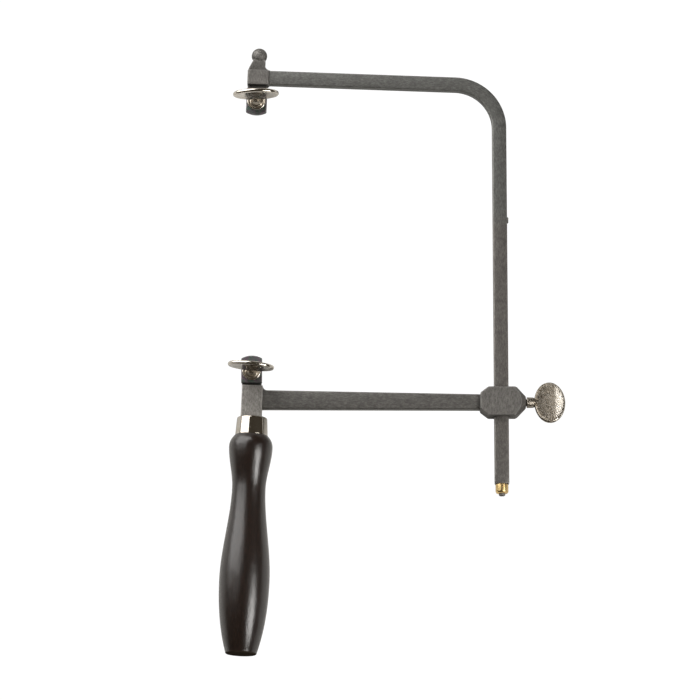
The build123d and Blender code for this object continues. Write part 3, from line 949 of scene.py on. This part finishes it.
def clamp_block():
    """The eight-sided sleeve on the arm, with its turned nose, about its own middle line."""
    upper = [(block_left, block_left_half), (block_slope_end, block_half)]
    upper += [(block_nose_start, block_half), (block_nose_end, block_nose_radius)]
    outline = upper + [(x, -y) for x, y in reversed(upper)]
    widest = math.hypot(block_half, block_depth / 2)
    envelope = [(0, block_left), (math.hypot(block_left_half, block_depth / 2) - 0.6, block_left)]
    envelope += [(widest, block_slope_end), (widest, nose_cone_start), (block_nose_radius, block_nose_end)]
    turned_form = moved(lathed(envelope + [(0, block_nose_end)], 128), turn(90, "Y"))
    body = prism(outline, -block_depth / 2, block_depth / 2, 0.45)
    slot = bar_width / 2 + slot_play
    thin = bar_thickness / 2 + slot_play
    pocket_end = upright_x + slot + pocket_reach
    high, deep = pocket_half_width, pocket_half_depth
    cuts = [
        block(upright_x - slot, upright_x + slot, -2 * block_half, 2 * block_half, -thin, thin),
        block(upright_x, pocket_end, -high, high, -deep, deep),
        moved(disc(hole_radius, nose_hole_start, block_nose_end + 1), turn(90, "Y")),
    ]
    return worn(combined([body], cuts, [turned_form]), 0.17, 6)


def side_screw():
    """The thumb screw: cut thread, thick neck and paddle, along the local Z axis."""
    tip = upright_x + bar_width / 2 + shoe_thickness + 0.04
    start = block_nose_end + side_neck_gap
    paddle_start = block_nose_end + side_neck
    waist = (side_neck_radius, paddle_start - 0.8)
    neck = [(0, start), (side_neck_radius - 0.25, start)]
    neck += arc((side_neck_radius - 0.2, start + 0.3), 0.3, -60, 20, 5)
    neck += eased(waist, (0.6, paddle_start + 2.6), -0.1, -0.3, 12) + [(0, paddle_start + 2.7)]
    handle_part = combined([lathed(neck, 64), paddle(paddle_start + paddle_half_height)])
    rod = cut_thread(tip, start + 0.2, THUMB_NICKEL)
    return moved(joined([handle_part, rod]), turn(90 + side_paddle_turn, "Z"))


def thumb_soot(local):
    """Plate worn to brass on the neck, and in the dish of the paddle."""
    start = block_nose_end + side_neck
    neck = ramp(local[:, 2], start + 2.0, start - 0.5)
    across_paddle = np.hypot(local[:, 1], local[:, 0]) / (paddle_half_width * 0.92)
    along_paddle = (local[:, 2] - start - paddle_half_height) / (paddle_half_height * 0.92)
    worn_side = ramp(np.hypot(across_paddle, along_paddle), 1.25, 1.0) * ramp(along_paddle, 0.5, 0.32)
    return np.clip(neck * 0.7 + worn_side, 0, 1)


# ---------------------------------------------------------------- turned pieces
def ferrule():
    """The drawn cup at the top of the handle."""
    top, bottom, wall = ferrule_top, ferrule_bottom, ferrule_wall
    profile = [(tang_radius, top)]
    profile += arc((ferrule_top_radius - ferrule_round, top - ferrule_round), ferrule_round, 90, 0, 10)
    profile += [(ferrule_bottom_radius, bottom + 0.25)]
    profile += arc((ferrule_bottom_radius - 0.22, bottom + 0.22), 0.22, 0, -90, 5)
    profile += [(ferrule_bottom_radius - wall, bottom)]
    profile += [(ferrule_top_radius - wall, top - wall), (tang_radius, top - wall)]
    return lathed(profile, 144, looped=True)


def handle():
    """The turned handle, bored for the tang: spigot, crest, waist, full belly and flat foot."""
    shoulder, crest, waist = (7.9, ferrule_bottom), (10.3, -22.6), (7.9, -42.2)
    belly, foot = (11.85, -86.0), (7.45, -120.3)
    spigot_top = ferrule_top - ferrule_wall
    profile = [(0, tang_end), (tang_radius, tang_end), (tang_radius, spigot_top)]
    profile += [(ferrule_top_radius - ferrule_wall, spigot_top)]
    profile += [(ferrule_bottom_radius - ferrule_wall, ferrule_bottom)]
    profile += eased(shoulder, crest, -0.95, 0.0, 18)
    profile += eased(crest, waist, 0.0, 0.0, 30)
    profile += eased(waist, belly, 0.0, 0.0, 50)
    profile += eased(belly, foot, 0.0, 0.30, 44)
    profile += arc((foot[0] - 0.9, handle_end + 0.9), 0.9, 0, -90, 6) + [(0, handle_end)]
    return lathed(profile, 144)


def handle_soot(local):
    """The foot, which was sawn off, never had the gloss lacquer."""
    return ramp(local[:, 2], handle_end + 0.9, handle_end + 0.3)


def stop_bush():
    """The brass bush at the end of the bar, its free end well rounded."""
    profile = [(stud_radius, -0.02), (bush_radius - 0.2, -0.02), (bush_radius, -0.22)]
    profile += arc((bush_radius - 1.15, -bush_length + 1.15), 1.15, 0, -90, 8)
    return lathed(profile + [(stud_radius, -bush_length)], 72, looped=True)


def stop_stud():
    """The steel stud through the bush, with a rounded tip."""
    tip = -bush_length - stud_proud
    profile = [(0, 8.0), (stud_radius, 8.0), (stud_radius, tip + 0.5)]
    return lathed(profile + arc((stud_radius - 0.5, tip + 0.5), 0.5, 0, -90, 5) + [(0, tip)], 48)


def travel_nib():
    """The short pin in the upright's outer edge, with a domed end."""
    end = nib_proud
    profile = [(0, -3.0), (nib_radius, -3.0), (nib_radius, end - 0.4)]
    return lathed(profile + arc((nib_radius - 0.4, end - 0.4), 0.4, 0, 90, 5) + [(0, end + 0.05)], 48)


# ---------------------------------------------------------------- the saw, piece by piece
def bar_warmth(local):
    """The scale of the bar is greener above the nib."""
    return ramp(local[:, 1], nib_y + 4, nib_y - 6)


TURNED = turn(-90, "X")
BAR_END = shift(upright_x, upright_end_y, 0) @ TURNED
IN_BAR_EDGE = shift(upright_x + bar_width / 2, nib_y, 0) @ turn(90, "Y")
DOWN_HANDLE = ALONG_HANDLE @ TURNED

bar_mesh = frame_bar()
bar_lines = bar_grain(points_of(bar_mesh)).astype(np.float32)
bar = piece(
    "bent_bar", bar_mesh, AS_DRAWN, BAR_STEEL, "upper_frame", "frame_bar", warmth=bar_warmth
)
bar.data.attributes["grain"].data.foreach_set("vector", bar_lines.ravel())
piece(
    "jaw_head", jaw_head(), IN_HEAD, JAW_STEEL, "upper_frame", "upper_jaw_head", "Y",
    painted_shade_and_local_finish=head_painted_shade_and_dark_finish,
)
piece("nib", travel_nib(), IN_BAR_EDGE, JAW_STEEL, "upper_frame", "travel_nib", "Z")
piece("end_bush", stop_bush(), BAR_END, BRASS, "upper_frame", "stop_bush", "Z")
piece("end_stud", stop_stud(), BAR_END, JAW_STEEL, "upper_frame", "stop_stud", "Z")

piece("arm", lower_arm(), AS_DRAWN, BAR_STEEL, "lower_frame", "lower_arm", painted_shade_and_local_finish=arm_painted_shadow_and_scale)
piece(
    "post_and_jaw", post(), AS_DRAWN, POST_STEEL, "lower_frame", "lower_post", "Y",
    painted_shade_and_local_finish=post_painted_shade,
)
piece("block", clamp_block(), shift(0, block_y, 0), JAW_STEEL, "lower_frame", "clamp_block", "Y")
piece(
    "thumb_screw", side_screw(), IN_BLOCK_NOSE, THUMB_NICKEL, "side_screw", "side_thumb_screw",
    painted_shade_and_local_finish=thumb_soot,
)
piece("ferrule_cup", ferrule(), DOWN_HANDLE, FERRULE_NICKEL, "lower_frame", "ferrule", "Z")
piece(
    "turned_handle", handle(), DOWN_HANDLE, HANDLE_LACQUER, "lower_frame", "handle", "Z",
    tightest=0.6, painted_shade_and_local_finish=handle_soot,
)

jaws = (
    ("upper", IN_HEAD, upper_flat_end, upper_domed_end, upper_paddle_turn + arm_rise),
    ("lower", IN_LOWER_JAW, lower_flat_end, lower_domed_end, lower_paddle_turn),
)
for jaw, place, flat_end, domed_end, degrees in jaws:
    plate, clamp_node = clamp_plate(flat_end, domed_end), jaw + "_clamp_plate"
    piece(jaw + "_plate", plate, place, PLATE_STEEL, jaw + "_plate", clamp_node)
    wing, screw_node = wing_screw(degrees), jaw + "_wing_screw"
    piece(jaw + "_wing", wing, place, WING_NICKEL, jaw + "_screw", screw_node, painted_shade_and_local_finish=wing_soot)

# three hidden pieces keep their CAD shapes
plain_pieces = {"pressure_shoe": BRASS, "upper_guide_pin": JAW_STEEL, "lower_guide_pin": JAW_STEEL}
for node, finish in plain_pieces.items():
    frame["nodes"][node].data.materials.clear()
    frame["nodes"][node].data.materials.append(finish)


# ---------------------------------------------------------------- the stage
def look_direction(aside, ahead):
    """A direction from the saw by its angles from the outward axis: to the right, and to the head."""
    a, b = math.radians(aside), math.radians(ahead)
    level_part = across * math.sin(a) + outward * math.cos(a)
    return (level_part * math.cos(b) + upward * math.sin(b)).normalized()


def facing(place, side, up, back):
    """The place and turn of a light or camera, by its three axes."""
    return Matrix.Translation(place) @ Matrix((side, up, back)).transposed().to_4x4()


def panel(name, aside, ahead, distance, width, height, power, tint, target, mirrored=True):
    """A soft rectangular light that faces the saw. One that isn't mirrored doesn't show in gloss."""
    light = bpy.data.lights.new(name, "AREA")
    light.shape, light.size, light.size_y = "RECTANGLE", width, height
    light.energy, light.color = power, tint
    lamp = bpy.data.objects.new(name, light)
    back = look_direction(aside, ahead)
    side = upward.cross(back).normalized()
    up = back.cross(side).normalized()
    lamp.matrix_world = facing(target + back * distance, side, up, back)
    lamp.visible_glossy = mirrored
    bpy.context.scene.collection.objects.link(lamp)


def floor_sheet():
    """The pale floor that the saw lies on."""
    mesh = bpy.data.meshes.new("floor")
    reach = 12.0
    corners = [(-reach, -reach, 0), (reach, -reach, 0), (reach, reach, 0), (-reach, reach, 0)]
    mesh.from_pydata(corners, [], [(0, 1, 2, 3)])
    mesh.materials.append(pale_floor("floor_paper"))
    floor = bpy.data.objects.new("floor", mesh)
    bpy.context.scene.collection.objects.link(floor)


def surroundings():
    """A room that is white behind the saw and dim and warm in its reflections."""
    world = bpy.data.worlds.new("room")
    world.use_nodes = True
    tree = world.node_tree
    room = tree.nodes["Background"]
    room.inputs["Color"].default_value = (0.1, 0.085, 0.065, 1)
    room.inputs["Strength"].default_value = 0.6
    backdrop = tree.nodes.new("ShaderNodeBackground")
    backdrop.inputs["Strength"].default_value = 1.1
    ray = tree.nodes.new("ShaderNodeLightPath")
    mixed = tree.nodes.new("ShaderNodeMixShader")
    tree.links.new(ray.outputs["Is Camera Ray"], mixed.inputs[0])
    tree.links.new(room.outputs[0], mixed.inputs[1])
    tree.links.new(backdrop.outputs[0], mixed.inputs[2])
    backdrop.inputs["Color"].default_value = (1, 1, 1, 1)
    tree.links.new(mixed.outputs[0], tree.nodes["World Output"].inputs["Surface"])
    bpy.context.scene.world = world


def camera(aim):
    """A long lens straight above the saw, leaning towards the end of the handle."""
    distance, lean, view_width = 1.9, math.radians(12.4), 0.3325
    back = (outward * math.cos(lean) - upward * math.sin(lean)).normalized()
    up = (upward * math.cos(lean) + outward * math.sin(lean)).normalized()
    lens = bpy.data.cameras.new("camera")
    lens.sensor_width = 36.0
    lens.lens = lens.sensor_width * distance / view_width
    lens.clip_start, lens.clip_end = 0.01, 50.0
    holder = bpy.data.objects.new("camera", lens)
    holder.matrix_world = facing(aim + back * distance, across, up, back)
    bpy.context.scene.collection.objects.link(holder)
    bpy.context.scene.camera = holder


floor_sheet()
surroundings()
middle = SAW @ Vector((46.6, 24.5, 0))
camera(middle)
warm_white = (1.0, 0.99, 0.975)
panel("left_softbox", -53, 36, 1.1, 1.3, 1.15, 15.5, warm_white, middle)
panel("head_card", -17, 50, 1.1, 0.3, 0.55, 1.3, warm_white, middle)
panel("right_strip", 42, -14, 1.1, 0.5, 0.4, 7, (1.0, 0.985, 0.96), middle)
panel("fill", 10, 10, 2.2, 2.4, 2.4, 22, (1.0, 1.0, 1.0), middle, mirrored=False)
bpy.context.scene.view_settings.view_transform = "Standard"
